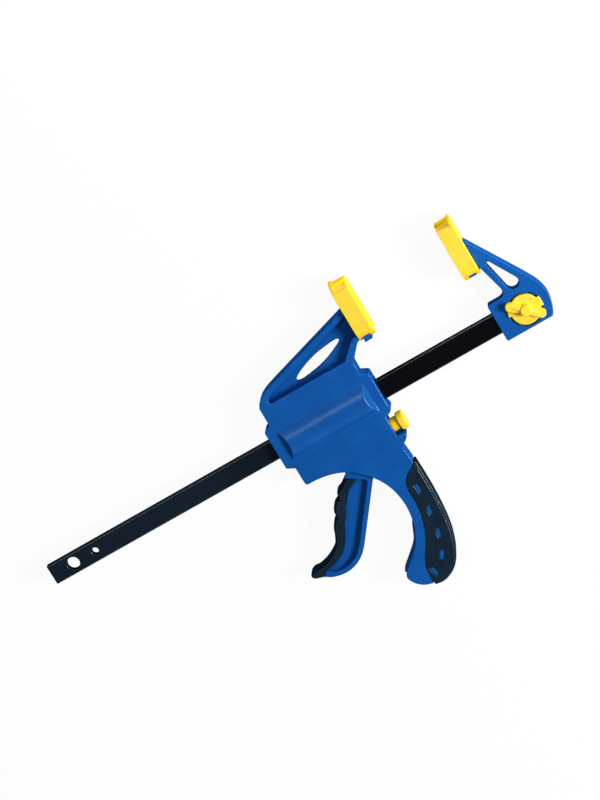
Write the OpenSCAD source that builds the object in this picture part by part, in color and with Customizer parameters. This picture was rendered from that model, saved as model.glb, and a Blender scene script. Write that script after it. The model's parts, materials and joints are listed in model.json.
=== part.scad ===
// One-handed quick release bar clamp, lying on its side.
// +X runs along the bar towards the fixed jaw, +Y towards the jaw tips, +Z is the thickness.
// Every piece is drawn in the bar's own frame (X from the bar's free end, Y and Z from its middle)
// and place() moves it so that the origin is under the middle of the whole clamp.

/* [Bar] */
// Length of the steel bar
bar_l = 301; // [285:0.5:420]
// Height of the bar, across the jaws
bar_h = 11.5; // [11:0.1:11.6]
// Thickness of the bar
bar_t = 5; // [4.6:0.1:5]
// Radius of the bar's long edges
bar_edge_r = 1; // [0.5:0.1:1.5]
// Distance from either bar end to its lock hole
lock_hole_x = 9.2; // [8.5:0.1:10]
// Radius of the hanging hole and of the lock hole
lock_hole_r = 3.6; // [3.55:0.05:3.7]
// Distance from the bar's free end to the hanging hole
hang_x = 13.6; // [9:0.1:15]
// Distance from the bar's free end to the stop hole
stop_x = 27.5; // [24:0.5:32]
// Radius of the stop hole
stop_r = 2; // [1.5:0.1:2.2]

/* [Jaws and pads] */
// Opening between the two pads
jaw_gap = 54; // [20:0.5:60]
// Half thickness of the housing
housing_z = 7; // [6.9:0.1:7.2]
// Half thickness of the fixed jaw
jaw_z = 4.5; // [4.4:0.1:4.8]
// Length of a pad
pad_l = 34.3; // [33:0.1:37]
// Width of a pad
pad_w = 21; // [20:0.5:24]
// Depth of a pad from its back to its clamping face
pad_t = 9; // [8.5:0.1:10]
// Height of the middle of a pad's flat sides over the bar's centre line
pad_y = 45.4; // [45:0.1:46]

/* [Mechanism] */
// Radius of the trigger pin
trigger_pin_r = 2; // [1.5:0.1:2.2]
// Tilt of the brake plate while it locks the bar
brake_tilt = 6; // [3:0.5:6]
// Number of turns of the drive spring
drive_turns = 6; // [4:1:7]
// Radius of the release button's head
button_r = 5.15; // [4.8:0.05:5.4]

/* [Hidden] */
$fn = 64;
far = 400;          // longer than any piece, for cuts that run right through
slip = 0.05;        // clearance of a running or sliding fit
steps = 4;          // straight pieces between two points of a curve

blue = [0.07, 0.33, 0.65];
yellow = [0.98, 0.85, 0.2];
navy = [0.06, 0.15, 0.22];
steel = [0.7, 0.71, 0.73];
black = [0.04, 0.05, 0.07];

// where the two assemblies stand on the bar
lock_x = bar_l - lock_hole_x;
pad_back_x = 10.3;                                   // fixed pad's back, before the lock hole
fixed_face_x = lock_x - pad_back_x - pad_t;
arm_end = 68.9;                                      // housing arm's end, from the housing's rear face
arm_gap = 0.1;                                       // between an arm's end and its pad
house_x = fixed_face_x - jaw_gap - pad_t - arm_end - arm_gap;

// ---- helpers --------------------------------------------------------------------------------
function cr(a, b, c, d, t) =
    0.5 * (2 * b + (c - a) * t + (2 * a - 5 * b + 4 * c - d) * t * t
        + (3 * b - a - 3 * c + d) * t * t * t);
// smooth line through the points p, without the last one
function curve(p) = [for (i = [0:len(p) - 2])
    let (a = p[max(i - 1, 0)], b = p[i], c = p[i + 1], d = p[min(i + 2, len(p) - 1)])
    for (k = [0:steps - 1]) cr(a, b, c, d, k / steps)];
function arc(c, r, a0, a1, n = 6) = [for (i = [0:n])
    let (a = a0 + (a1 - a0) * i / n) c + r * [cos(a), sin(a)]];
function without_last(p) = [for (i = [0:len(p) - 2]) p[i]];
function backwards(p) = [for (i = [len(p) - 1:-1:0]) p[i]];
// the points p moved sideways by d, to the left of their direction of travel
function beside(p, d) = [for (i = [0:len(p) - 1])
    let (t = p[min(i + 1, len(p) - 1)] - p[max(i - 1, 0)]) p[i] + d * [-t.y, t.x] / norm(t)];
// outline of two circles and their outer tangents
function two_round(c1, r1, c2, r2) =
    let (v = c2 - c1, a = atan2(v.y, v.x), b = acos((r1 - r2) / norm(v)))
    concat(arc(c1, r1, a + b, a + 360 - b, 16), arc(c2, r2, a - b, a + b, 8));

// sheet of the outline between two heights
module slab(z0, z1) translate([0, 0, z0]) linear_extrude(z1 - z0) children();
// sheet of the same half thickness on both sides of the middle
module both(z) slab(-z, z) children();
module box(p, q) translate(p) cube(q - p);
// cylinder along X
module rod_x(r, x0, x1, y = 0) translate([x0, y, 0]) rotate([0, 90, 0]) cylinder(r = r, h = x1 - x0);
// coil along X, starting at x = 0
module coil(r, wire, length, turns) {
    pitch = length / turns;
    half = 360 * wire / pitch;
    n = 4;
    side = [for (i = [-n:n]) i * half / n];
    edge = function (s) [for (a = side)
        (r + s * sqrt(max(wire * wire - pow(pitch * a / 360, 2), 0))) * [cos(a), sin(a)]];
    rotate([0, 90, 0])
        linear_extrude(length, twist = -360 * turns, slices = 16 * turns, segments = 4 * n + 2, $fn = 0)
        polygon(concat(edge(1), backwards(edge(-1))));
}

// ---- bar ------------------------------------------------------------------------------------
bar_corner_n = 4;
bar_section = [for (k = [0:3]) each arc([(k == 0 || k == 3 ? 1 : -1) * (bar_h / 2 - bar_edge_r),
    (k < 2 ? 1 : -1) * (bar_t / 2 - bar_edge_r)], bar_edge_r, 90 * k, 90 * k + 90, bar_corner_n)];

module bar() color(black) difference() {
    rotate([90, 0, 90]) linear_extrude(bar_l) polygon(bar_section);
    for (x = [hang_x, lock_x]) translate([x, 0, -bar_t]) cylinder(r = lock_hole_r, h = 2 * bar_t);
    translate([stop_x, 0, -bar_t]) cylinder(r = stop_r, h = 2 * bar_t);
}

// channel that the bar passes through
channel_gap = 0.12;
module channel(x0, x1) box([x0, -bar_h / 2 - channel_gap, -bar_t / 2 - channel_gap],
    [x1, bar_h / 2 + channel_gap, bar_t / 2 + channel_gap]);

// ---- pads and their rails -------------------------------------------------------------------
rail_x = [2, 6.2];             // the rail's plate, from the pad's back
rail_z = 7.5;
rail_top = 10.6;               // over the pad's middle
neck_z = 3.5;
pad_end = [5.8, 4.9];          // heights of the rounded ends, low and high
lip_t = 1.5;                   // thin lip round the tip, along the pad's back
lip_h = 0.9;
groove_at = [2.6, 5.6, 10.7];  // grooves across the clamping face, from its middle
groove_r = 0.9;
groove_deep = 0.35;

pad_flat = pad_l - pad_end[0] - pad_end[1];
// rounded end of a pad, h high, for the low (-1) or high (1) end
function pad_round(side, h) = let (r = (pad_w * pad_w / 4 + h * h) / (2 * h), a = asin(pad_w / 2 / r))
    arc([0, side * (pad_flat / 2 + h - r)], r, side * (90 - a), side * (90 + a), 16);

// sheet along X of an outline whose x is the width and y the length
module across(t) rotate([90, 0, 90]) linear_extrude(t) mirror([1, -1]) children();
module pad_outline(lip = 0) polygon(concat(pad_round(1, pad_end[1] + lip),
    backwards(pad_round(-1, pad_end[0]))));

// rail with a neck, standing on an arm's end at x = 0; low, neck_low and neck_high are heights over the bar
module rail(low, neck_low, neck_high, z_from = -rail_z) {
    box([rail_x[0], low, z_from], [rail_x[1], pad_y + rail_top, rail_z]);
    box([-arm_gap, neck_low, max(z_from, -neck_z)], [rail_x[0], neck_high, neck_z]);
}

// pad with its back at x = 0 and its clamping face at x = pad_t
module pad(slot_high) difference() {
    translate([0, pad_y, 0]) union() {
        across(pad_t) pad_outline();
        across(lip_t) pad_outline(lip_h);
    }
    box([rail_x[0] - slip, 0, -rail_z - slip], [rail_x[1] + slip, pad_y + rail_top + slip, rail_z + slip]);
    box([-1, 0, -neck_z - slip], [rail_x[0], slot_high + 2 * slip, neck_z + slip]);
    for (y = groove_at, side = [-1, 1])
        translate([pad_t + groove_r - groove_deep, pad_y + side * y, -pad_w])
            cylinder(r = groove_r, h = 2 * pad_w);
}

// ---- fixed jaw ------------------------------------------------------------------------------
// outline from the lock hole's centre
jaw_rear = -16.5;
jaw_base = -10.3;
jaw_ledge = 11.2;
jaw_corner_r = 1.1;
jaw_arm_x = -10.2;
jaw_tip_y = 48.1;
jaw_neck = [33.2, 47.4];
jaw_rail_low = 29.1;
jaw_back = [[10.5, -10.3], [11.8, -8.4], [13.3, -4.8], [14.2, -0.6], [14.1, 4], [12.6, 9.4], [9, 16.3]];
jaw_notch = [[-5.7, 15.6], [-5.9, 13.6], [-7.2, 11.8], [-9.5, jaw_ledge]];
jaw_inner = [[jaw_arm_x, 33], [-9.4, 30]];
jaw_window = two_round([0.9, 15.6], 3.55, [-4.8, 30.4], 1.1);
jaw_bar_end = 0.3;             // play behind the bar's end
knob_seat_r = 9.1;
knob_seat_z = 3;

jaw_outline = concat([[jaw_rear, jaw_base]], curve(jaw_back),
    [jaw_back[len(jaw_back) - 1], [jaw_arm_x, jaw_tip_y]], jaw_inner,
    curve(jaw_notch), [jaw_notch[len(jaw_notch) - 1]],
    arc([jaw_rear + jaw_corner_r, jaw_ledge - jaw_corner_r], jaw_corner_r, 90, 180));

module fixed_jaw() color(blue) difference() {
    translate([lock_x, 0, 0]) difference() {
        union() {
            both(jaw_z) polygon(jaw_outline);
            translate([-pad_back_x, 0, 0]) mirror([1, 0, 0]) rail(jaw_rail_low, jaw_neck[0], jaw_neck[1]);
        }
        both(far) polygon(jaw_window);
        translate([0, 0, knob_seat_z]) cylinder(r = knob_seat_r, h = far);
        translate([0, 0, -far]) cylinder(r = lock_hole_r, h = 2 * far);
    }
    channel(lock_x - far, bar_l + jaw_bar_end);
}

module fixed_pad() color(yellow) translate([lock_x - pad_back_x, 0, 0]) mirror([1, 0, 0]) pad(jaw_neck[1]);

// ---- lock -----------------------------------------------------------------------------------
lock_pin_r = lock_hole_r - 2 * slip;
clip_r = 5.6;
clip_t = 0.8;
clip_seat_r = 3;               // pin's radius in the clip's groove
clip_z = -jaw_z - 0.15 - clip_t;
knob_r = 8.1;
knob_z = [knob_seat_z + 0.2, 6];
knob_hub_r = [3.7, 2.7];       // at the hub's foot and top
knob_hub_z = 10.3;
wing_angle = -40;
wing_at = 8.4;                 // wing tip's centre from the axis
wing_r = 2.4;
wing_z = [6, 8.8];
lug_angle = [1, 168];          // the two lugs over the seat's rim
lug_half = [2.7, 1.5];
lug_reach = 9.5;
lug_z = [jaw_z + 0.3, 6];
pin_top = 5.2;

module lock_pin() color(steel) translate([lock_x, 0, 0]) {
    translate([0, 0, clip_z + clip_t]) cylinder(r = lock_pin_r, h = pin_top - clip_z - clip_t);
    translate([0, 0, clip_z - 0.01]) cylinder(r = clip_seat_r, h = clip_t + 0.02);
    translate([0, 0, clip_z - 0.6]) cylinder(r = lock_pin_r, h = 0.6);
}

module lock_clip() color(steel) translate([lock_x, 0, clip_z]) difference() {
    cylinder(r = clip_r, h = clip_t);
    translate([0, 0, -1]) cylinder(r = clip_seat_r + slip, h = clip_t + 2);
    box([0, -clip_seat_r + 0.6, -1], [clip_r + 1, clip_seat_r - 0.6, clip_t + 1]);
}

module lock_knob() color(yellow) translate([lock_x, 0, 0]) difference() {
    union() {
        translate([0, 0, knob_z[0]]) cylinder(r = knob_r, h = knob_z[1] - knob_z[0]);
        translate([0, 0, knob_z[1] - 1])
            cylinder(r1 = knob_hub_r[0], r2 = knob_hub_r[1], h = knob_hub_z - knob_z[1] + 1);
        rotate(wing_angle) slab(wing_z[0] - 1, wing_z[1])
            for (s = [-1, 1]) polygon(two_round([s * wing_at, 0], wing_r, [s * 1.2, 0], wing_r * 0.8));
        for (i = [0, 1]) rotate(lug_angle[i])
            box([0, -lug_half[i], lug_z[0]], [lug_reach, lug_half[i], lug_z[1]]);
    }
    translate([0, 0, -1]) cylinder(r = lock_pin_r + slip / 2, h = pin_top + 1 + slip);
}

// ---- housing --------------------------------------------------------------------------------
// outline from the housing's rear face, x along the bar; the arm's end carries the moving pad
wall = 2;
cave_z = 5;                    // half height of the space inside
arm_top = [[4.4, 23.8], [5.9, 26.4], [8.2, 28.4], [11.4, 30.1], [15, 31.4], [20, 33]];
arm_tip = [[arm_end, 47.7], [arm_end, 29.3], [67.6, 29.1], [66.6, 28.2], [62.8, 23.9]];
arm_rail_low = 27.1;
arm_neck = [29.4, 47.6];
arm_root = [[61.2, 22.1], [60.2, 20.8], [59.8, 19.5]];
nose = [[59.6, 13.6], [63.2, 11.8], [63.8, 11], [63.8, -8.2], [64.3, -9.4], [64.2, -10.8], [62.9, -12.1],
    [59.5, -13.5], [59.5, -25.2]];
heel = [[63.5, -25.4], [64.2, -26.4], [63.9, -27.8], [62.3, -29.4], [59.8, -30.8], [59, -32.4],
    [59.2, -34.4]];
grip_start = [60, -42.3];
grip_back = [grip_start, [60.2, -52], [60.1, -62], [59.5, -72], [58.3, -81.5], [56.3, -89.5], [53.3, -96.8],
    [49, -102.4], [44.1, -105.3], [40.1, -106.2], [36.2, -105.7]];
grip_inner = [grip_start, [56.5, -44.2], [53, -46.9], [51, -50], [50.1, -54], [50, -61], [49.1, -69],
    [47, -76], [43.3, -83.6], [39.2, -90.2], [37, -95.2], [36.1, -100.5], [36.2, -105.7]];
arch = [[10, -24.4], [18, -25.6], [26, -28.6], [33, -34], [38.5, -40.3], [42.6, -48.5], [44.3, -58],
    [43.9, -66], [42.2, -72.9], [39.4, -78.8], [36.6, -82.9], [33.3, -86], [29.4, -89.5], [26.6, -91.9],
    [25.2, -94], [25, -96.4], [27.4, -100.6], [31.3, -103.5], [36, -105]];
finger_rib = [[42.5, -71.8], [39.4, -78.8], [36.6, -82.9], [33.3, -86], [29.4, -89.5], [26.6, -91.9],
    [25.6, -93.2]];
finger_rib_z = 4;
finger_rib_out = 0.9;
rear_corner_r = 1.7;
rear_low = -24.4;
rear_x = 4.3;
tail = [[rear_x, -13.4], [0.4, -11.4], [0, -10.8], [0, 10.9], [0.6, 11.8], [rear_x, 13.6]];
grip_wall = 1.4;               // rubber's thickness round the handle's back
core_back = beside(grip_back, -grip_wall);

house_outline = concat(curve(arm_top), arm_tip, arm_root, nose, heel, [[59.8, -41.9]],
    curve(core_back), backwards(curve(arch)), arc([rear_x + rear_corner_r, rear_low + rear_corner_r],
    rear_corner_r, 270, 180), tail);

// sunk panel of the arm, with a leaf-shaped hole through its web
web_z = 2;
panel = concat(curve([[11.4, 23.3], [10.4, 24.2], [10.7, 25.8], [12.6, 27.4], [15.6, 28.5], [20, 29.8]]),
    [[arm_end + 1, 44.8], [arm_end + 1, 32.6], [66.6, 32.3], [63.8, 30.6], [56.4, 23.3]]);
leaf = curve([[28.5, 26.9], [30.5, 28.5], [34.5, 30.5], [39.5, 32.4], [45, 33.9], [50, 34.7], [55, 35.2],
    [58, 35.2], [58.9, 34.4], [57.6, 32.8], [53.5, 30.7], [48.5, 28.6], [43.5, 27.1], [38.5, 26.1],
    [32, 25.3], [29, 25.7], [28.5, 26.9]]);

// round tunnel for the drive spring, swelling out of the sides
barrel_x = [5.5, 58.5];
barrel_slope = 3.2;
barrel_top = 10.2;
barrel_chord = 8.6;
barrel_rise = barrel_top - housing_z;
barrel_r = (barrel_chord * barrel_chord + barrel_rise * barrel_rise) / (2 * barrel_rise);
tunnel_r = 8;
cave_x = [6.3, 57.4];

// inside
pivot = [39, -24];
pin_z = 6.5;
mouth = [[24.6, -32], [26.4, -23], [44, -23], [46.5, -47], [41.5, -47.5], [33, -40]];
brake_pivot = [49.25, 9.8];
brake_pocket = [[45.6, 14], [52.6, 14], [52.6, 9.8], [50.62, 9.8], [50.62, 11.4], [47.2, 11.4], [47.2, 9],
    [45.6, 9]];
spring_stop = [[43, -15.5], [44.4, -8]];
// wall that keeps the trigger's well apart from the hollow handle
well_wall = [[46.6, -29], [48.6, -29], [49, -49.6], [38, -49.6], [38, -47.5], [46.6, -47.5]];

screw_at = [[11, 16.6], [53.5, 17.6], [11, -17.6], [51.8, -34.5], [47.2, -59], [31, -97.4]];
post_r = 3;
screw_r = 1.25;
head_r = 2.5;
head_t = 1.5;
head_sink = 0.15;
screw_tip = 4.2;
button_y = -20;
stem_r = 3.8;

// blue bars that fill the windows of the rubber: place, turn and size
window_at = [[55.1, -55.6], [54.3, -69], [52.2, -82.1], [47.7, -93.4], [39.6, -99.4]];
window_turn = [0, -9, -17, -33, 9];
window_size = [2.5, 5.1];
core_z = 6.3;                  // handle's half thickness under the rubber
window_z = 6.7;                // and in the rubber's windows
grip_z = 7.5;
spine_z = 5.4;                 // the rubber's back swells out between these heights
spine_out = 0.8;

module windows() for (i = [0:len(window_at) - 1])
    translate(window_at[i]) rotate(window_turn[i]) square(window_size, center = true);
module grip_region(out = 0) polygon(concat(curve(beside(grip_back, out)), [grip_back[len(grip_back) - 1]],
    backwards(curve(grip_inner))));

module barrel() intersection() {
    translate([0, 0, barrel_top - barrel_r]) rod_x(barrel_r, barrel_x[0], barrel_x[1]);
    translate([0, far / 2, 0]) rotate([90, 0, 0]) linear_extrude(far) polygon([
        [barrel_x[0], cave_z], [barrel_x[1], cave_z], [barrel_x[1], housing_z],
        [barrel_x[1] - barrel_slope, barrel_top + 0.1], [barrel_x[0] + barrel_slope, barrel_top + 0.1],
        [barrel_x[0], housing_z]]);
}

module cave() difference() {
    slab(-1, cave_z) intersection() {
        offset(delta = -wall) polygon(house_outline);
        translate([cave_x[0], -far / 2]) square([cave_x[1] - cave_x[0], far / 2 + 21]);
    }
    for (p = screw_at) translate([p.x, p.y, 0]) cylinder(r = post_r, h = far);
    slab(0, far) polygon(brake_pocket);
    slab(0, far) translate(spring_stop[0]) square(spring_stop[1] - spring_stop[0]);
    slab(0, far) polygon(well_wall);
}

// the half above the middle plane, without its screw holes
module housing_half() difference() {
    union() {
        slab(0, housing_z) polygon(house_outline);
        slab(0, finger_rib_z) polygon(concat(curve(beside(finger_rib, -finger_rib_out)),
            backwards(curve(beside(finger_rib, wall / 2)))));
        barrel();
        translate([arm_end + arm_gap, 0, 0]) rail(arm_rail_low, arm_neck[0], arm_neck[1], 0);
    }
    cave();
    slab(-1, cave_z) polygon(mouth);
    slab(web_z, far) polygon(panel);
    slab(-1, far) polygon(leaf);
    slab(core_z, far) difference() {
        grip_region();
        windows();
    }
    slab(window_z, far) windows();
    rod_x(tunnel_r, cave_x[0], 42);
    channel(-1, far);
    rod_x(stem_r + slip, cave_x[1] - 1, button_x[0] - 1, button_y);
    translate([pivot.x, pivot.y, 0]) cylinder(r = trigger_pin_r + slip / 2, h = pin_z + slip);
}

module housing_front() color(blue) translate([house_x, 0, 0]) difference() {
    housing_half();
    for (p = screw_at) translate([p.x, p.y, -1]) cylinder(r = screw_r + slip / 2, h = screw_tip + 1 + slip);
}

module housing_back() color(blue) translate([house_x, 0, 0]) mirror([0, 0, 1]) difference() {
    housing_half();
    for (p = screw_at) translate([p.x, p.y, 0]) {
        translate([0, 0, -1]) cylinder(r = screw_r + slip, h = far);
        translate([0, 0, housing_z - head_t - head_sink]) cylinder(r = head_r + slip, h = far);
    }
}

module housing_screws() color(steel) translate([house_x, 0, 0]) for (p = screw_at)
    translate([p.x, p.y, -housing_z + head_sink]) difference() {
        union() {
            cylinder(r = head_r, h = head_t);
            cylinder(r = screw_r, h = housing_z - head_sink + screw_tip);
        }
        for (a = [0, 90]) rotate(a) box([-1.5, -0.3, -1], [1.5, 0.3, 0.9]);
    }

module handle_grip() color(navy) translate([house_x, 0, 0]) difference() {
    union() {
        both(grip_z) grip_region();
        both(spine_z) grip_region(spine_out);
    }
    both(core_z) polygon(house_outline);
    for (s = [-1, 1]) translate([0, 0, s * (core_z + grip_z)]) both(grip_z) windows();
}

module moving_pad() color(yellow) translate([house_x + arm_end + arm_gap, 0, 0]) pad(arm_neck[1]);

// ---- trigger --------------------------------------------------------------------------------
trigger_z = 4.7;
trigger_core_z = 3;
trigger_web_z = 1.7;
trigger_grip_z = [3.4, 5.9];   // half thickness at the rounded front edge, and of the flat sides
trigger_round = 1.1;           // how far the flat sides stand back from the front edge
trigger_skin = 1.5;
trigger_rim = 2.7;
boss_r = 5.5;
nose_at = [39.5, -9.5];
nose_r = 2.1;
lever_at = [40.7, -20];
lever_r = 2.8;
grip_top = [23.6, -31.6];
grip_tail = [-12.9, -73.9];
finger_1 = [grip_top, [19.7, -34.4], [17.6, -35.2], [15.9, -36.7], [15, -39.5]];
finger_2 = [[15, -39.5], [12.4, -40.7], [10.3, -42.8], [9.1, -45.3], [9, -47.6]];
finger_3 = [[9, -47.6], [6.4, -49.7], [4.2, -53.2], [2.8, -56.7], [-0.3, -61.7], [-6, -65.3], [-12.2, -67.2],
    [-15.6, -67], [-18.4, -68.2], [-19.7, -70.2], [-18.4, -72.2], grip_tail];
trigger_inner = [[28.8, -35.1], [22.4, -38.6], [18.6, -43.2], [16.2, -45.6], [14.6, -49.5], [11.4, -53],
    [9.6, -56.5], [6.6, -61.5], [2, -66.5], [-5, -69.9], [-11.4, -71.4], grip_tail];
trigger_neck = [[26, -29], [35, -19.8], [43.6, -21.5], [43.6, -29], [42.7, -31.3]];
trigger_back = [[36.6, -39.2], [14.6, -67.9]];
trigger_low = [[14.6, -67.9], [11, -71.9], [6.3, -75.2], [1.2, -76.9], [-4, -77.1], [-9.2, -75.9], grip_tail];

panel_top = [[29.6, -36.1], [31.7, -36.8], [32.9, -37.7], [33.2, -39.2]];
rim_low = beside(trigger_low, -trigger_rim);

module trigger_blue() polygon(concat([grip_top], trigger_neck, trigger_back, curve(trigger_low),
    backwards(curve(trigger_inner))));
function finger_side(d) = concat(curve(beside(finger_1, d)), curve(beside(finger_2, d)),
    curve(beside(finger_3, d)));
module trigger_rubber(inset = 0) polygon(concat(finger_side(inset), [grip_tail],
    backwards(curve(trigger_inner))));
module trigger_core() offset(delta = -trigger_skin) {
    trigger_blue();
    trigger_rubber();
}
module trigger_panel() polygon(concat(panel_top, curve(without_last(rim_low)),
    backwards(curve(without_last(trigger_inner)))));

module trigger() color(blue) translate([house_x, 0, 0]) difference() {
    union() {
        difference() {
            union() {
                both(trigger_z) trigger_blue();
                both(trigger_core_z) trigger_core();
            }
            for (z = [trigger_web_z, -far]) slab(z, z + far - trigger_web_z) trigger_panel();
        }
        translate([pivot.x, pivot.y, -trigger_z]) cylinder(r = boss_r, h = 2 * trigger_z);
        both(trigger_z) polygon(two_round(nose_at, nose_r, lever_at, lever_r));
    }
    translate([pivot.x, pivot.y, -far]) cylinder(r = trigger_pin_r + slip, h = 2 * far);
}

module trigger_grip() color(navy) translate([house_x, 0, 0]) difference() {
    union() {
        both(trigger_grip_z[0]) trigger_rubber();
        both(trigger_grip_z[1]) trigger_rubber(trigger_round);
    }
    both(trigger_core_z) trigger_core();
}

module trigger_pin() color(steel) translate([house_x + pivot.x, pivot.y, -pin_z])
    cylinder(r = trigger_pin_r, h = 2 * pin_z);

// ---- drive ----------------------------------------------------------------------------------
plate_t = 2.4;
plate_gap = 0.1;
plate_y = [-12.2, 8.6];
plate_z = 4.7;
plate_hole_gap = 0.3;
plate_end = nose_at.x - nose_r - plate_gap;
drive_r = 7;
drive_wire = 0.65;

module drive_plate(x) color(steel) translate([house_x + x, 0, 0]) difference() {
    box([-plate_t, plate_y[0], -plate_z], [0, plate_y[1], plate_z]);
    box([-far, -bar_h / 2 - plate_hole_gap, -bar_t / 2 - plate_hole_gap],
        [far, bar_h / 2 + plate_hole_gap, bar_t / 2 + plate_hole_gap]);
}
module drive_plate_front() drive_plate(plate_end);
module drive_plate_rear() drive_plate(plate_end - plate_t - plate_gap);

drive_from = cave_x[0] + plate_gap;
drive_to = plate_end - 2 * plate_t - 2 * plate_gap;
module drive_spring() color(steel) translate([house_x + drive_from, 0, 0])
    coil(drive_r, drive_wire, drive_to - drive_from, drive_turns);

// ---- brake and release ----------------------------------------------------------------------
brake_t = 2.5;
brake_low = 32.4;              // the plate's lower end, along the plate from its pivot downwards
brake_hole_u = [3.75, 15.85];
brake_spring_y = -11.5;
brake_spring_r = 2;
brake_wire = 0.35;
brake_turns = 4;
button_x = [63.5, 67.6];
button_round = 1.2;
flange_r = 4.7;
flange_x = [55.6, 57.2];
tip_x = 54;
tip_r = 2.6;

module brake_plate() color(steel) translate([house_x + brake_pivot.x, brake_pivot.y, 0]) rotate(brake_tilt)
    difference() {
        union() {
            box([-brake_t / 2, -brake_low, -plate_z], [brake_t / 2, 0, plate_z]);
            translate([0, 0, -plate_z]) cylinder(r = brake_t / 2, h = 2 * plate_z);
        }
        box([-far, -brake_hole_u[1], -bar_t / 2 - plate_hole_gap],
            [far, -brake_hole_u[0], bar_t / 2 + plate_hole_gap]);
    }

brake_face = brake_pivot.x + (brake_pivot.y - brake_spring_y) * tan(brake_tilt)
    - brake_t / 2 / cos(brake_tilt);
brake_spring_gap = 0.35;       // the plate leans, so the spring's edge stays this far from it
brake_spring_from = spring_stop[1].x + plate_gap;
module brake_spring() color(steel) translate([house_x + brake_spring_from, brake_spring_y, 0])
    coil(brake_spring_r, brake_wire, brake_face - brake_spring_from - brake_spring_gap, brake_turns);

module release_button() color(yellow) translate([house_x, button_y, 0]) rotate([0, 90, 0]) rotate_extrude()
    polygon(concat([[0, tip_x], [tip_r, tip_x], [tip_r, flange_x[0]], [flange_r, flange_x[0]],
        [flange_r, flange_x[1]], [stem_r, flange_x[1]], [stem_r, button_x[0]], [button_r, button_x[0]]],
        arc([button_r - button_round, button_x[1] - button_round], button_round, 0, 90), [[0, button_x[1]]]));

// ---- whole clamp ----------------------------------------------------------------------------
high_y = pad_y + pad_flat / 2 + pad_end[1] + lip_h;
low_y = min([for (p = curve(beside(grip_back, spine_out))) p.y]);
right_x = lock_x + max([for (p = jaw_outline) p.x]);
module place() translate([-right_x / 2, -(high_y + low_y) / 2, pad_w / 2]) children();

place() bar();
place() fixed_jaw();
place() fixed_pad();
place() lock_knob();
place() lock_pin();
place() lock_clip();
place() housing_front();
place() housing_back();
place() housing_screws();
place() handle_grip();
place() moving_pad();
place() trigger();
place() trigger_grip();
place() trigger_pin();
place() drive_plate_front();
place() drive_plate_rear();
place() drive_spring();
place() brake_plate();
place() brake_spring();
place() release_button();
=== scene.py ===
import json
import math

import bmesh
import bpy
from mathutils import Matrix, Vector, geometry
from mathutils.bvhtree import BVHTree


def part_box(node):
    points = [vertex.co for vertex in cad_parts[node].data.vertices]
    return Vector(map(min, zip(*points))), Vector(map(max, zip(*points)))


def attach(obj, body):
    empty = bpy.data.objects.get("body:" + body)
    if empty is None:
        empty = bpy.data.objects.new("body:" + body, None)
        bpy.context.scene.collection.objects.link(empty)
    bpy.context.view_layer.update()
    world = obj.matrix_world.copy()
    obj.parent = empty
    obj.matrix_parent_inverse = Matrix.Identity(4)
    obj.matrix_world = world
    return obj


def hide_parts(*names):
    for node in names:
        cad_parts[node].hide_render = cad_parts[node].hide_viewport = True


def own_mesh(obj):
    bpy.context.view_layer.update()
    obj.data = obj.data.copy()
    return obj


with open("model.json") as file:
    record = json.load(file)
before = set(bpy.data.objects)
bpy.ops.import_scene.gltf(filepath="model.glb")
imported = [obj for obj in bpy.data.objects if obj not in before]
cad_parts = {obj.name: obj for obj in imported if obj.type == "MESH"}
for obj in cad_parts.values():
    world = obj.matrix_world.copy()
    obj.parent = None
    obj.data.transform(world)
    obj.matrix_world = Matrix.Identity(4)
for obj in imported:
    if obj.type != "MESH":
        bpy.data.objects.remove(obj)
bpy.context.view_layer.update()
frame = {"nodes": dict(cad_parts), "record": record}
mm = 0.001
middle = 10.5               # height of the clamp's middle plane, in mm
houseX = -12.55             # the housing's rear face, along the bar
barY = 22.0                 # the bar's centre line
lockX = 138.75              # the centre of the knob and its pin, along the bar
joined = 0.002              # points nearer than this are one, in mm
near = 0.02                 # heights nearer than this are the same, in mm
axisShare = 0.98            # a direction counts as lying along an axis from this share of it
wallTilt = 0.1              # the normal of an upright wall rises by less than this
flatTurn = 1.0              # faces that turn by fewer degrees than this are one flat face
noiseSpan = (0.3, 0.7)      # between these lie most of a noise's values


class Wire:
    # one output socket; maths on it adds Math nodes, node() adds any other node
    def __init__(self, socket):
        self.socket = socket

    def node(self, kind, settings, inputs, output=0):
        tree = self.socket.id_data
        made = tree.nodes.new(kind)
        for key, value in settings.items():
            setattr(made, key, value)
        for key, value in inputs.items():
            if isinstance(value, Wire):
                tree.links.new(value.socket, made.inputs[key])
            else:
                made.inputs[key].default_value = value
        return Wire(made.outputs[output])

    def sum(self, operation, first, second):
        return self.node("ShaderNodeMath", {"operation": operation}, {0: first, 1: second})

    def __add__(self, other):
        return self.sum("ADD", self, other)

    def __mul__(self, other):
        return self.sum("MULTIPLY", self, other)

    __radd__, __rmul__ = __add__, __mul__


def startMaterial(name):
    material = bpy.data.materials.new(name)
    material.use_nodes = True
    tree = material.node_tree
    surface = tree.nodes["Principled BSDF"]
    place = tree.nodes.new("ShaderNodeTexCoord")
    return material, surface, Wire(place.outputs["Object"])


def plug(surface, name, value):
    if isinstance(value, Wire):
        value.socket.id_data.links.new(value.socket, surface.inputs[name])
    else:
        surface.inputs[name].default_value = value


def noise(place, scale, detail=2.0):
    return place.node("ShaderNodeTexNoise", {"noise_dimensions": "3D"},
                      {"Vector": place, "Scale": scale, "Detail": detail})


def mixColour(amount, first, second):
    return amount.node("ShaderNodeMix", {"data_type": "RGBA"}, {0: amount, 6: first, 7: second}, 2)


def remap(value, low, high, fromLow=0.0, fromHigh=1.0):
    return value.node("ShaderNodeMapRange", {}, {"Value": value, "From Min": fromLow, "From Max": fromHigh,
                                                 "To Min": low, "To Max": high})


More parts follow.
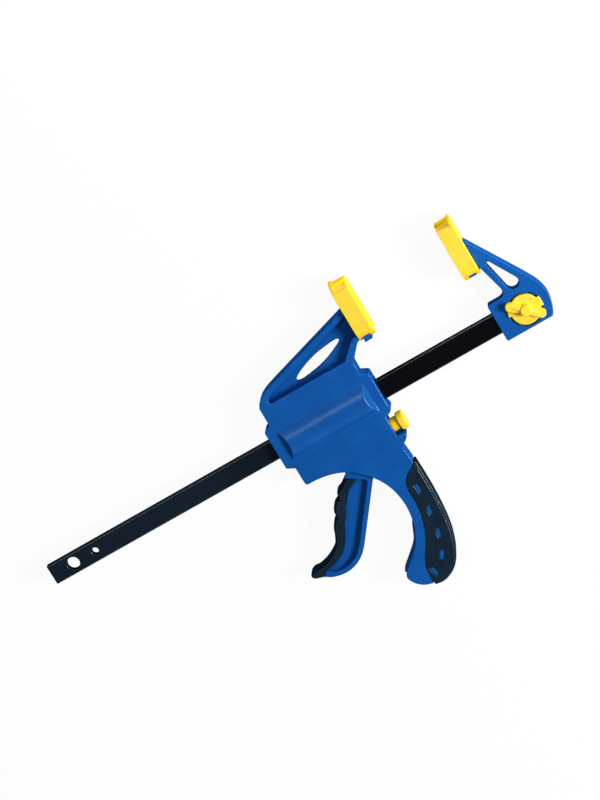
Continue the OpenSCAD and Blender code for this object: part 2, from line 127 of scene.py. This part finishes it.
def bump(height, strength, distance):
    return height.node("ShaderNodeBump", {}, {"Height": height, "Strength": strength, "Distance": distance})


def addGloss(surface, place, look):
    # the gloss is a coat that thins out on walls seen edge on
    facing = place.node("ShaderNodeLayerWeight", {}, {"Blend": 0.5}, 1)
    plug(surface, "Coat Weight", remap(facing, 1, 0, *look["coatFade"]))
    plug(surface, "Coat Roughness", look["coatRoughness"])
    plug(surface, "Coat IOR", look["coatIor"])
    plug(surface, "Specular IOR Level", look["specular"])


bluePlasticLook = {
    "dark": (0.0020, 0.066, 0.280, 1), "light": (0.0050, 0.098, 0.375, 1), "specular": 0.0,
    "coatFade": (0.09, 0.25), "coatRoughness": 0.28, "coatIor": 1.42,
    "grain": 1300, "cloud": 70, "mottle": (0.32, 0.68), "bump": (0.35, 0.00012), "roughness": (0.42, 0.50),
}


def makeBluePlastic():
    look = bluePlasticLook
    material, surface, place = startMaterial("bluePlastic")
    grain = noise(place, look["grain"])
    cloud = noise(place, look["cloud"], 3)
    plug(surface, "Base Color", mixColour(remap(cloud * 0.5 + grain * 0.5, 0, 1, *look["mottle"]),
                                          look["dark"], look["light"]))
    plug(surface, "Roughness", remap(grain, *look["roughness"], *noiseSpan))
    plug(surface, "Normal", bump(grain, *look["bump"]))
    addGloss(surface, place, look)
    return material


# side is a painted shade colour: a deeper orange yellow painted on faces that look along the arms and on
# faces picked as in shadow, in place of the shade that falls there
yellowPlasticLook = {
    "dark": (0.86, 0.595, 0.04, 1), "light": (0.89, 0.645, 0.055, 1), "side": (1.0, 0.58, 0.003, 1),
    "specular": 0.0, "coatFade": (0.3, 0.7), "coatRoughness": 0.35, "coatIor": 1.4,
    "grain": 900, "cloud": 120, "bump": (0.3, 0.00005), "roughness": (0.34, 0.44),
    "depth": 0.15, "depthColour": (1.0, 0.6, 0.1), "depthScale": 0.002,
}


def makeYellowPlastic():
    look = yellowPlasticLook
    material, surface, place = startMaterial("yellowPlastic")
    grain = noise(place, look["grain"])
    cloud = noise(place, look["cloud"], 3)
    # painted shade: faces that look along the arms, and those picked as in shadow, get the deeper side colour
    # instead of the lit yellow
    litYellow = mixColour(remap(cloud, 0, 1, *noiseSpan), look["dark"], look["light"])
    paintedLight = place.node("ShaderNodeAttribute", {"attribute_name": "paintedLight"}, {}, 2)
    plug(surface, "Base Color", mixColour(paintedLight, look["side"], litYellow))
    plug(surface, "Roughness", remap(grain, *look["roughness"], *noiseSpan))
    plug(surface, "Normal", bump(grain, *look["bump"]))
    addGloss(surface, place, look)
    plug(surface, "Subsurface Weight", look["depth"])
    plug(surface, "Subsurface Radius", look["depthColour"])
    plug(surface, "Subsurface Scale", look["depthScale"])
    return material


rubberLook = {
    "dark": (0.0025, 0.0105, 0.022, 1), "light": (0.0050, 0.0185, 0.035, 1), "specular": 0.0,
    "coatFade": (0.15, 0.45), "coatRoughness": 0.33, "coatIor": 1.45,
    "grain": 1800, "cloud": 90, "bump": (0.4, 0.0001), "roughness": (0.5, 0.62),
}


def makeRubber():
    look = rubberLook
    material, surface, place = startMaterial("navyRubber")
    grain = noise(place, look["grain"])
    cloud = noise(place, look["cloud"], 3)
    plug(surface, "Base Color", mixColour(remap(cloud, 0, 1, *noiseSpan), look["dark"], look["light"]))
    plug(surface, "Roughness", remap(grain, *look["roughness"], *noiseSpan))
    plug(surface, "Normal", bump(grain, *look["bump"]))
    addGloss(surface, place, look)
    return material


# the paler, bluer colour and its reach along X are a painted reflection on the bar, strongest towards -X
barLook = {
    "black": (0.0004, 0.0006, 0.0022, 1), "paintedReflection": (0.0055, 0.0145, 0.026, 1), "reflectionFrom": 0.05,
    "reflectionTo": -0.07, "reflectionLeast": 0.75, "streak": (60, 900, 900), "cloud": 60, "bump": (0.1, 0.00004),
    "roughness": (0.17, 0.24), "specular": 0.0, "coatFade": (0.12, 0.35), "coatRoughness": 0.18,
    "coatIor": 1.6,
}


def makeBlackBar():
    # the bar is painted paler and bluer towards -X, along its free half, a painted reflection that a noise
    # breaks up a little
    look = barLook
    material, surface, place = startMaterial("blackBar")
    stretched = place.node("ShaderNodeMapping", {}, {"Vector": place, "Scale": look["streak"]})
    streak = noise(stretched, 1.0, 3)
    cloud = noise(place, look["cloud"], 3)
    x = place.node("ShaderNodeSeparateXYZ", {}, {0: place})
    # mask of the painted reflection: 0 at the first X, 1 towards -X, broken up a little by a noise
    paintedReflection = remap(x, 0, 1, look["reflectionFrom"], look["reflectionTo"]) * remap(cloud, look["reflectionLeast"], 1, *noiseSpan)
    plug(surface, "Base Color", mixColour(paintedReflection, look["black"], look["paintedReflection"]))
    plug(surface, "Roughness", remap(streak * 0.5 + cloud * 0.5, *look["roughness"], *noiseSpan))
    plug(surface, "Normal", bump(streak, *look["bump"]))
    addGloss(surface, place, look)
    return material


steelLook = {
    "dark": (0.42, 0.43, 0.45, 1), "light": (0.62, 0.63, 0.65, 1), "roughness": (0.24, 0.4),
    "streak": (300, 300, 2500), "bump": (0.12, 0.00005),
}


def makeSteel():
    look = steelLook
    material, surface, place = startMaterial("brightSteel")
    stretched = place.node("ShaderNodeMapping", {}, {"Vector": place, "Scale": look["streak"]})
    streak = noise(stretched, 1.0, 3)
    plug(surface, "Base Color", mixColour(remap(streak, 0, 1, *noiseSpan), look["dark"], look["light"]))
    plug(surface, "Roughness", remap(streak, *look["roughness"], *noiseSpan))
    plug(surface, "Normal", bump(streak, *look["bump"]))
    plug(surface, "Metallic", 1)
    return material


bluePlastic = makeBluePlastic()
yellowPlastic = makeYellowPlastic()
navyRubber = makeRubber()
blackBar = makeBlackBar()
brightSteel = makeSteel()
bodyOf = {}
dressed = set()     # nodes that a piece of the script stands for
for bodyName, members in frame["record"]["behaviour"]["bodies"].items():
    for member in members:
        bodyOf[member] = bodyName
print("materials made")


def cadCopy(node):
    # one merged shell of a node, with its flat faces joined
    bm = bmesh.new()
    bm.from_mesh(frame["nodes"][node].data)
    bmesh.ops.remove_doubles(bm, verts=bm.verts, dist=joined * mm)
    bmesh.ops.dissolve_limit(bm, angle_limit=math.radians(flatTurn), use_dissolve_boundaries=False,
                             verts=bm.verts, edges=bm.edges, delimit=set())
    return bm


def height(edge):
    # how far an edge's ends lie from the middle plane in mm, or None where they differ
    low, high = (abs(v.co.z / mm - middle) for v in edge.verts)
    return (low + high) / 2 if abs(low - high) < near else None


def atHeight(level, convex=True):
    # picks the outer edges at a height, or the inner corners there
    return lambda edge: (height(edge) is not None and abs(height(edge) - level) < near
                         and edge.is_convex == convex)


def upright(edge):
    # an edge that runs across the clamp's thickness
    way = edge.verts[1].co - edge.verts[0].co
    return abs(way.normalized().z) > axisShare


def facesWay(face, way, share):
    # true for an upright wall that looks a given way
    return abs(face.normal.z) < wallTilt and face.normal.dot(way) > share


def crossings(face):
    # where a flat face's outline runs over itself
    ends = [(loop.vert.co, loop.link_loop_next.vert.co) for loop in face.loops]
    turn = face.normal.rotation_difference(Vector((0, 0, 1)))
    flat = [tuple((turn @ p).xy for p in pair) for pair in ends]
    found = []
    for i, (a, b) in enumerate(flat):
        for j in range(i + 2, len(flat) - (i == 0)):
            if geometry.intersect_line_line_2d(a, b, *flat[j]):
                found += [ends[i][0], ends[j][0]]
    return found


# areas in square mm, distances in mm
softenLook = {"attempts": 8, "folded": 0.01, "sameSpot": 0.3, "reach": 0.3, "reachStep": 0.15, "merge": 0.04}


def badSpots(bm):
    # faces whose triangles don't fill their outline, as where a rounded edge folds over
    filled = {}
    for loops in bm.calc_loop_triangles():
        face = loops[0].face
        filled[face] = filled.get(face, 0) + geometry.area_tri(*(loop.vert.co for loop in loops))
    found = []
    for face, area in filled.items():
        if area - face.calc_area() > softenLook["folded"] * mm * mm:
            found += [p.copy() for p in crossings(face)]
    return found


def soften(bm, width, pick, segments=3, sharper=34):
    # rounds the picked edges that turn by more than an angle, and leaves those where it would fold
    look = softenLook
    bm.edges.index_update()
    chosen = [e.index for e in bm.edges if len(e.link_faces) == 2
              and e.calc_face_angle(0) > math.radians(sharper) and pick(e)]
    known = badSpots(bm)
    for attempt in range(look["attempts"]):
        trial = bm.copy()
        trial.edges.ensure_lookup_table()
        bmesh.ops.bevel(trial, geom=[trial.edges[i] for i in chosen], offset=width * mm, offset_type="OFFSET",
                        segments=segments, profile=0.5, affect="EDGES", clamp_overlap=False, material=-1,
                        loop_slide=False)
        bmesh.ops.remove_doubles(trial, verts=trial.verts, dist=look["merge"] * mm)
        trial.normal_update()
        spots = [p for p in badSpots(trial) if all((p - q).length > look["sameSpot"] * mm for q in known)]
        if not spots or attempt == look["attempts"] - 1:
            break
        reach = (look["reach"] + look["reachStep"] * attempt) * mm
        bm.edges.ensure_lookup_table()
        chosen = [i for i in chosen
                  if min((v.co - p).length for v in bm.edges[i].verts for p in spots) > reach]
        trial.free()
    print("rounded", len(chosen), "edges by", width, "mm, folds left:", len(spots))
    mesh = bpy.data.meshes.new("softened")
    trial.to_mesh(mesh)
    trial.free()
    bm.clear()
    bm.from_mesh(mesh)
    bpy.data.meshes.remove(mesh)
    bm.normal_update()


def softenOpen(bm, width, level, step):
    # rounds the outer edges at a height, and leaves those inside a cave, where a ray hits a wall
    tree = BVHTree.FromBMesh(bm)
    up = Vector((0, 0, step))
    aside, above = 0.2 * mm, 0.1 * mm       # where the ray starts, beside the wall

    def isOpen(edge):
        if height(edge) is None or abs(height(edge) - level) > near:
            return False
        wall = min(edge.link_faces, key=lambda f: abs(f.normal.z))
        start = (edge.verts[0].co + edge.verts[1].co) / 2 + wall.normal * aside + up * above
        return tree.ray_cast(start, up)[0] is None

    soften(bm, width, isOpen, 1, sharper=60)


def finishPiece(bm, name, material, nodes, smooth=38, inPaintedShadow=lambda face: False):
    # this attribute paints shade into the yellow: it is how little a face looks along the arms, and where it
    # is 0 the yellow is painted deepest, as painted shade; it is 0 too on the faces that the given test
    # picks, as a painted shadow
    mesh = bpy.data.meshes.new(name)
    bm.normal_update()
    paintedLight = bm.faces.layers.float.new("paintedLight")
    for face in bm.faces:
        face[paintedLight] = 0 if inPaintedShadow(face) else 1 - abs(face.normal.y)
    bm.to_mesh(mesh)
    bm.free()
    mesh.shade_smooth()
    mesh.set_sharp_from_angle(angle=math.radians(smooth))
    mesh.materials.append(material)
    piece = bpy.data.objects.new(name, mesh)
    bpy.context.scene.collection.objects.link(piece)
    even = piece.modifiers.new("evenNormals", "WEIGHTED_NORMAL")
    even.keep_sharp = True
    even.weight = 100
    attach(piece, bodyOf[nodes[0]])
    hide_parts(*nodes)
    dressed.update(nodes)
    print(name, len(mesh.polygons), "faces")
    return piece


def facesTips(edge):
    # true for the foot of a wall that looks towards the tips of the jaws
    return any(f.normal.y > 0.5 for f in edge.link_faces)


# widths of the rounded edges, then heights from the middle plane and places, all in mm; the screws are
# measured from the housing's rear face and the bar's centre line
housingLook = {
    "outline": 0.45, "backOutline": 0.25, "corner": 0.7, "panelFloor": 0.9, "leaf": 0.2, "barrelEnd": 0.35,
    "barrelFoot": 0.6, "parting": 0.15, "side": 7, "outside": 6.9, "panel": 2, "armEnd": 55.8,
    "barrelBox": ((-7.6, 12.9), (46.5, 31.1)), "screwRoom": 2.7,
    "screws": ((11, 16.6), (53.5, 17.6), (11, -17.6), (51.8, -34.5), (47.2, -59), (31, -97.4)),
}


def makeHousing(node, step, outline):
    look = housingLook
    bm = cadCopy(node)
    low, high = look["barrelBox"]
    screws = [Vector((x + houseX, y + barY, 0)) * mm for x, y in look["screws"]]

    def onBarrel(edge):
        spot = (edge.verts[0].co + edge.verts[1].co) / 2 / mm
        return (low[0] < spot.x < high[0] and low[1] < spot.y < high[1]
                and all(abs(v.co.z / mm - middle) > look["outside"] for v in edge.verts))

    def isCorner(edge):
        return (edge.is_convex and upright(edge) and edge.verts[0].co.x < look["armEnd"] * mm
                and max(abs(v.co.z / mm - middle) for v in edge.verts) > look["outside"])

    def isRim(edge):
        # the head of a screw leaves no room for a rounded rim beside it
        spot = (edge.verts[0].co + edge.verts[1].co) / 2
        byScrew = min((spot - p).xy.length for p in screws) < look["screwRoom"] * mm
        return atHeight(look["side"])(edge) and not onBarrel(edge) and not byScrew

    def isRidge(edge):
        return onBarrel(edge) and edge.is_convex and all(f.normal.z * step > 0.5 for f in edge.link_faces)

    soften(bm, look["corner"], isCorner, sharper=58)
    soften(bm, outline, isRim)
    soften(bm, look["barrelFoot"], lambda e: (onBarrel(e) and atHeight(look["side"], False)(e)
                                              and not facesTips(e)), sharper=25)
    soften(bm, look["barrelEnd"], isRidge, sharper=40)
    soften(bm, look["panelFloor"], lambda e: atHeight(look["panel"], False)(e) and not facesTips(e), 4)
    soften(bm, look["leaf"], atHeight(look["panel"]), 2)
    softenOpen(bm, look["parting"], 0, step)
    finishPiece(bm, node + "_shape", bluePlastic, [node])


makeHousing("housing_front", 1, housingLook["outline"])
makeHousing("housing_back", -1, housingLook["backOutline"])

# corners ahead of the rear that are longer than cornerLeast are rounded
jawLook = {"corner": 0.9, "outline": 0.55, "seat": 0.3, "rear": 123, "side": 4.5, "seatReach": 9.3,
           "cornerLeast": 8.5}


def makeFixedJaw():
    look = jawLook
    bm = cadCopy("fixed_jaw")
    seat = Vector((lockX, barY)) * mm

    def onSeat(edge):
        return (edge.verts[0].co.xy - seat).length < look["seatReach"] * mm

    def isSide(edge):
        return atHeight(look["side"])(edge)

    soften(bm, look["corner"], lambda e: (upright(e) and e.calc_length() > look["cornerLeast"] * mm
                                          and e.verts[0].co.x < look["rear"] * mm), 4, sharper=40)
    soften(bm, look["outline"], lambda e: isSide(e) and not onSeat(e), 4)
    soften(bm, look["seat"], lambda e: isSide(e) and onSeat(e))
    finishPiece(bm, "fixed_jaw_shape", bluePlastic, ["fixed_jaw"])


makeFixedJaw()

barShape = {"edge": 0.3}


def makeBar():
    bm = cadCopy("bar")
    soften(bm, barShape["edge"], lambda e: True, sharper=50)
    finishPiece(bm, "bar_shape", blackBar, ["bar"])


makeBar()

# lip is the width of the lip at a pad's back, and edges inside are those of the slot for the rail
padLook = {"edge": 0.23, "groove": 0.12, "lip": 1.5, "thick": 9, "inside": 8, "flush": 0.01}


def makePad(node, way):
    # way is 1 where the clamping face looks along +X, and -1 where it looks back
    look = padLook
    bm = cadCopy(node)
    face = (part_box(node)[1][0] if way > 0 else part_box(node)[0][0])

    def isGroove(edge):
        # a lip of a groove runs right across the clamping face
        return all(abs(v.co.x - face) < look["flush"] * mm for v in edge.verts) and upright(edge)

    def isOuter(edge):
        inside = all(abs(v.co.z / mm - middle) < look["inside"] for v in edge.verts)
        atLip = all(abs(abs(v.co.x - face) / mm - look["thick"] + look["lip"]) < near for v in edge.verts)
        return not inside and not atLip and not isGroove(edge)

    soften(bm, look["edge"], isOuter)
    soften(bm, look["groove"], isGroove, 2, sharper=30)
    finishPiece(bm, node + "_shape", yellowPlastic, [node])


makePad("fixed_pad", -1)
makePad("moving_pad", 1)

knobLook = {
    "voxel": 0.2, "rounds": 5, "wing": -40.7, "lobe": 8.5, "lobeRadius": 1.75, "lobeHeight": 7.0,
    "hubHeight": 8.2, "armRadius": (1.9, 1.5), "hubSides": 8,
    "hub": (3.7, 2.7, 5.4, 6.9),        # radius at its foot and top, depth, and height of its middle
}


def addArm(bm, balls):
    # the skin round two balls, each a place and a radius in mm
    skin = bmesh.new()
    for place, radius in balls:
        bmesh.ops.create_icosphere(skin, subdivisions=3, radius=radius * mm, matrix=Matrix.Translation(place))
    made = bmesh.ops.convex_hull(skin, input=skin.verts)
    outside = {v for g in made["geom"] if isinstance(g, bmesh.types.BMFace) for v in g.verts}
    bmesh.ops.delete(skin, geom=[v for v in skin.verts if v not in outside], context="VERTS")
    mesh = bpy.data.meshes.new("arm")
    skin.to_mesh(mesh)
    skin.free()
    bm.from_mesh(mesh)
    bpy.data.meshes.remove(mesh)


def makeKnob():
    look = knobLook
    bm = cadCopy("lock_knob")
    centre = Vector((lockX, barY, middle)) * mm
    turn = math.radians(look["wing"])
    for side, radius in zip((-1, 1), look["armRadius"]):
        tip = centre + Vector((math.cos(turn) * look["lobe"] * side, math.sin(turn) * look["lobe"] * side,
                               look["lobeHeight"])) * mm
        hub = centre + Vector((0, 0, look["hubHeight"])) * mm
        addArm(bm, ((tip, look["lobeRadius"]), (hub, radius)))
    foot, top, deep, level = look["hub"]
    bmesh.ops.create_cone(bm, cap_ends=True, segments=look["hubSides"], radius1=foot * mm, radius2=top * mm,
                          depth=deep * mm, matrix=Matrix.Translation(centre + Vector((0, 0, level)) * mm))
    mesh = bpy.data.meshes.new("knobRough")
    bm.to_mesh(mesh)
    rough = bpy.data.objects.new("knobRough", mesh)
    bpy.context.scene.collection.objects.link(rough)
    remesh = rough.modifiers.new("remesh", "REMESH")
    remesh.mode, remesh.voxel_size = "VOXEL", look["voxel"] * mm
    shaped = rough.evaluated_get(bpy.context.evaluated_depsgraph_get()).to_mesh()
    bm.clear()
    bm.from_mesh(shaped)
    bpy.data.objects.remove(rough)
    bpy.data.meshes.remove(mesh)
    for _ in range(look["rounds"]):
        bmesh.ops.smooth_vert(bm, verts=bm.verts, factor=0.5, use_axis_x=True, use_axis_y=True,
                              use_axis_z=True)
    finishPiece(bm, "lock_knob_shape", yellowPlastic, ["lock_knob"], smooth=180)


makeKnob()

# the profile is a list of places along the axis, from the housing's rear face, each with its radius
buttonLook = {
    "profile": [(54, 0), (54, 2.4), (54.2, 2.6), (55.4, 2.6), (55.6, 2.8), (55.6, 4.5), (55.8, 4.7),
                (57, 4.7), (57.2, 4.5), (57.2, 3.8), (63.2, 3.8), (63.5, 4.1)],
    "head": (63.5, 67.6), "radius": 5.15, "rounds": (0.605, 1.1), "steps": 6, "turns": 64, "axisY": 1.9995,
}


def makeButton():
    look = buttonLook
    profile = list(look["profile"])
    low, high = look["head"]
    inner, outer = look["rounds"]
    for x, size, first in ((low + inner, inner, 180), (high - outer, outer, 90)):
        for i in range(look["steps"] + 1):
            angle = math.radians(first - 90 * i / look["steps"])
            profile.append((x + math.cos(angle) * size, look["radius"] - size + math.sin(angle) * size))
    profile.append((high, 0))
    bm = bmesh.new()
    axis = Vector((houseX, look["axisY"], middle)) * mm
    verts = [bm.verts.new(axis + Vector((x, 0, r)) * mm) for x, r in profile]
    edges = [bm.edges.new(pair) for pair in zip(verts, verts[1:])]
    bmesh.ops.spin(bm, geom=verts + edges, cent=axis, axis=(1, 0, 0), angle=math.tau, steps=look["turns"],
                   use_merge=True, use_duplicate=False)
    bmesh.ops.remove_doubles(bm, verts=bm.verts, dist=joined * mm)
    bmesh.ops.recalc_face_normals(bm, faces=bm.faces)
    # the neck under the head is painted in the deeper yellow, a painted shadow of the head
    neck = axis.x + low * mm
    finishPiece(bm, "release_button_shape", yellowPlastic, ["release_button"], smooth=50,
                inPaintedShadow=lambda face: face.calc_center_median().x < neck)


makeButton()

gripLook = {
    "back": 0.6, "edge": 0.25, "ledge": 0.4, "ends": (-83.6, -22), "side": 7.5, "spine": 5.4,
    "grooves": (-3.6, -1.2, 1.2, 3.6), "grooveHalf": 0.5, "grooveDeep": 0.45, "onPlane": 0.0005,
    "palm": (0.6, -0.8, 0), "palmShare": 0.2,       # which way the handle's back looks
}


def facesBack(face):
    return facesWay(face, Vector(gripLook["palm"]), gripLook["palmShare"])


def makeHandleGrip():
    look = gripLook
    bm = cadCopy("handle_grip")
    for groove in look["grooves"]:
        for side in (-1, 0, 1):
            level = (middle + groove + side * look["grooveHalf"]) * mm
            bmesh.ops.bisect_plane(bm, geom=bm.verts[:] + bm.edges[:] + bm.faces[:],
                                   dist=look["onPlane"] * mm, plane_co=(0, 0, level), plane_no=(0, 0, 1))
    bm.normal_update()
    shifts = {}
    for groove in look["grooves"]:
        for vert in bm.verts:
            if abs(vert.co.z / mm - middle - groove) < near / 2:
                walls = [f.normal for f in vert.link_faces if facesBack(f)]
                if walls:
                    shifts[vert] = sum(walls, Vector()).normalized() * -look["grooveDeep"] * mm
    for vert, shift in shifts.items():
        vert.co += shift
    low, high = look["ends"]

    def isBack(edge):
        return (any(facesBack(f) for f in edge.link_faces)
                and all(low * mm < v.co.y < high * mm for v in edge.verts))

    soften(bm, look["back"], lambda e: atHeight(look["side"])(e) and isBack(e), 4)
    soften(bm, look["edge"], atHeight(look["side"]))
    soften(bm, look["ledge"], lambda e: (atHeight(look["spine"])(e)
                                         and any(facesBack(f) for f in e.link_faces)))
    finishPiece(bm, "handle_grip_shape", navyRubber, ["handle_grip"], smooth=30)


makeHandleGrip()

triggerLook = {"outline": 0.3, "panelFloor": 0.6, "side": 4.7, "panel": 1.7, "shown": -10, "backShare": 0.3}


def makeTrigger():
    look = triggerLook
    bm = cadCopy("trigger")

    def isRim(edge):
        return atHeight(look["side"])(edge) and edge.verts[0].co.y < look["shown"] * mm

    def isFloor(edge):
        # the foot of the panel's wall, but for the part that looks towards the handle
        return (atHeight(look["panel"], False)(edge)
                and all(f.normal.x < look["backShare"] for f in edge.link_faces))

    soften(bm, look["outline"], isRim)
    soften(bm, look["panelFloor"], isFloor, 4)
    finishPiece(bm, "trigger_shape", bluePlastic, ["trigger"])


makeTrigger()

triggerGripLook = {
    "front": 0.5, "edge": 0.25, "ledge": 0.25, "side": 5.9, "inner": 3.4,
    "fingers": (-0.8, 0.6, 0), "fingerShare": 0.1,      # which way the rubber's front looks
}


def makeTriggerGrip():
    look = triggerGripLook
    bm = cadCopy("trigger_grip")

    def isFront(edge):
        return (atHeight(look["side"])(edge)
                and any(facesWay(f, Vector(look["fingers"]), look["fingerShare"]) for f in edge.link_faces))

    soften(bm, look["front"], isFront, 4)
    soften(bm, look["edge"], atHeight(look["side"]))
    soften(bm, look["ledge"], atHeight(look["inner"]))
    finishPiece(bm, "trigger_grip_shape", navyRubber, ["trigger_grip"], smooth=30)


makeTriggerGrip()

# keep is how much of its length a spring keeps when its joint is at its limit
springs = {
    "drive_spring": {"joint": "drive_plates_push", "anchor": -0.00615, "keep": 0.765},
    "brake_spring": {"joint": "brake_tilt", "anchor": 0.03195, "keep": 0.5},
}


def makeSpring(node):
    # a coil spring, copied from its node in steel, with a mesh of its own
    piece = finishPiece(cadCopy(node), node + "_shape", brightSteel, [node])
    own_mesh(piece)


for springNode, springLook in springs.items():
    makeSpring(springNode)

# what is left is steel: the plates, the pins, the clip and the screws
for node, item in frame["nodes"].items():
    if node not in dressed:
        item.data.materials.clear()
        item.data.materials.append(brightSteel)
print("pieces made")

cameraView = {
    "place": (0.238697, 0.3048785, 1.365931), "yaw": 9.5, "pitch": 11, "roll": 31.40669, "lens": 119.5135,
    "sensor": 36, "shift": (-0.000625, 0.000625), "clip": (0.05, 20),
}


def makeCamera():
    yaw, pitch, roll = (math.radians(cameraView[k]) for k in ("yaw", "pitch", "roll"))
    back = Vector((math.sin(yaw) * math.cos(pitch), math.sin(pitch), math.cos(yaw) * math.cos(pitch)))
    up = (Vector((0, 1, 0)) - back * back.y).normalized()
    right = up.cross(back)
    across = right * math.cos(roll) - up * math.sin(roll)
    upwards = right * math.sin(roll) + up * math.cos(roll)
    data = bpy.data.cameras.new("camera")
    data.sensor_width, data.lens = cameraView["sensor"], cameraView["lens"]
    data.shift_x, data.shift_y = cameraView["shift"]
    data.clip_start, data.clip_end = cameraView["clip"]
    camera = bpy.data.objects.new("camera", data)
    turn = Matrix((across, upwards, back)).transposed().to_4x4()
    camera.matrix_world = Matrix.Translation(cameraView["place"]) @ turn
    bpy.context.scene.collection.objects.link(camera)
    bpy.context.scene.camera = camera


makeCamera()

stageLook = {
    "floorSize": 6.0, "floorColour": 0.86, "floorRoughness": 0.9, "floorSpecular": 0.1, "floorWhite": 0.94,
    "floorDrop": 0.05,      # in mm, so that no flat face of the clamp lies in the floor
    "worldLight": 0.36, "dark": 0.05, "darkFrom": 0.5, "darkTo": 0.85,
    "flag": 0.3, "flagFrom": 0.1, "flagTo": 0.5,
    "aim": (0.03, 0.0, 0.01),       # the point that every lamp looks at
}
lamps = {
    "key": {"way": (0.73, -0.25, 0.64), "far": 1.3, "size": (0.42, 0.42), "power": 20.7,
            "colour": (1, 1, 1)},
    "strip": {"way": (-0.14, 0.41, 0.9), "far": 1.3, "size": (0.9, 0.13), "power": 3.0,
              "colour": (0.7, 0.87, 1)},
    "kicker": {"way": (0.8, 0.45, 0.2), "far": 0.32, "size": (0.1, 0.1), "power": 0.16,
               "colour": (0.8, 0.92, 1)},
    "rim": {"way": (0.73, 0.29, 0.62), "far": 0.485, "size": (0.08, 0.05), "power": 0.12,
            "colour": (0.8, 0.92, 1)},
    "fill": {"way": (0.2, 0.95, 0.2), "far": 0.36, "size": (0.12, 0.12), "power": 0.2, "colour": (1, 1, 1)},
}


def rays(tree, *names):
    # 1 for a ray from the camera or of one of the kinds named, and 0 for the others
    path = tree.nodes.new("ShaderNodeLightPath")
    total = Wire(path.outputs["Is Camera Ray"])
    for name in names:
        total = total + Wire(path.outputs[name])
    return total.sum("MINIMUM", total, 1.0)


def makeFloor():
    bm = bmesh.new()
    bmesh.ops.create_grid(bm, x_segments=1, y_segments=1, size=stageLook["floorSize"] / 2)
    mesh = bpy.data.meshes.new("floor")
    bm.to_mesh(mesh)
    bm.free()
    floor = bpy.data.objects.new("floor", mesh)
    floor.location.z = -stageLook["floorDrop"] * mm
    bpy.context.scene.collection.objects.link(floor)
    material = bpy.data.materials.new("paleFloor")
    material.use_nodes = True
    tree = material.node_tree
    surface = tree.nodes["Principled BSDF"]
    surface.inputs["Base Color"].default_value = (stageLook["floorColour"],) * 3 + (1,)
    surface.inputs["Roughness"].default_value = stageLook["floorRoughness"]
    surface.inputs["Specular IOR Level"].default_value = stageLook["floorSpecular"]
    shown = rays(tree, "Is Glossy Ray", "Is Transmission Ray")
    white = shown.node("ShaderNodeEmission", {}, {"Color": (1, 1, 1, 1), "Strength": 1.0})
    mixed = shown.node("ShaderNodeMixShader", {}, {0: shown * stageLook["floorWhite"],
                                                   1: Wire(surface.outputs[0]), 2: white})
    tree.links.new(mixed.socket, tree.nodes["Material Output"].inputs["Surface"])
    mesh.materials.append(material)


def makeWorld():
    # white round the horizon and dark overhead and behind, as in a studio with a black flag
    look = stageLook
    world = bpy.data.worlds.new("studio")
    bpy.context.scene.world = world
    world.use_nodes = True
    tree = world.node_tree
    light = tree.nodes["Background"]
    way = Wire(tree.nodes.new("ShaderNodeTexCoord").outputs["Generated"])
    rise = way.node("ShaderNodeSeparateXYZ", {}, {0: way}, 2)
    behind = way.node("ShaderNodeSeparateXYZ", {}, {0: way}, 1)
    sky = remap(rise, 1.0, look["dark"], look["darkFrom"], look["darkTo"])
    sky = sky * remap(behind, 1.0, look["flag"], look["flagFrom"], look["flagTo"])
    shown = rays(tree, "Is Glossy Ray", "Is Transmission Ray")
    strength = sky.sum("MAXIMUM", sky * remap(shown, look["worldLight"], 1.0), rays(tree))
    tree.links.new(strength.socket, light.inputs["Strength"])
    light.inputs["Color"].default_value = (1, 1, 1, 1)


def makeLamp(name, look):
    data = bpy.data.lights.new(name, "AREA")
    data.shape, data.energy, data.color = "RECTANGLE", look["power"], look["colour"]
    data.size, data.size_y = look["size"]
    lamp = bpy.data.objects.new(name, data)
    way = Vector(look["way"]).normalized()
    lamp.location = Vector(stageLook["aim"]) + way * look["far"]
    lamp.rotation_euler = way.to_track_quat("Z", "Y").to_euler()
    bpy.context.scene.collection.objects.link(lamp)


makeFloor()
makeWorld()
for lampName, lampLook in lamps.items():
    makeLamp(lampName, lampLook)
bpy.context.scene.view_settings.view_transform = "Standard"
print("stage made")
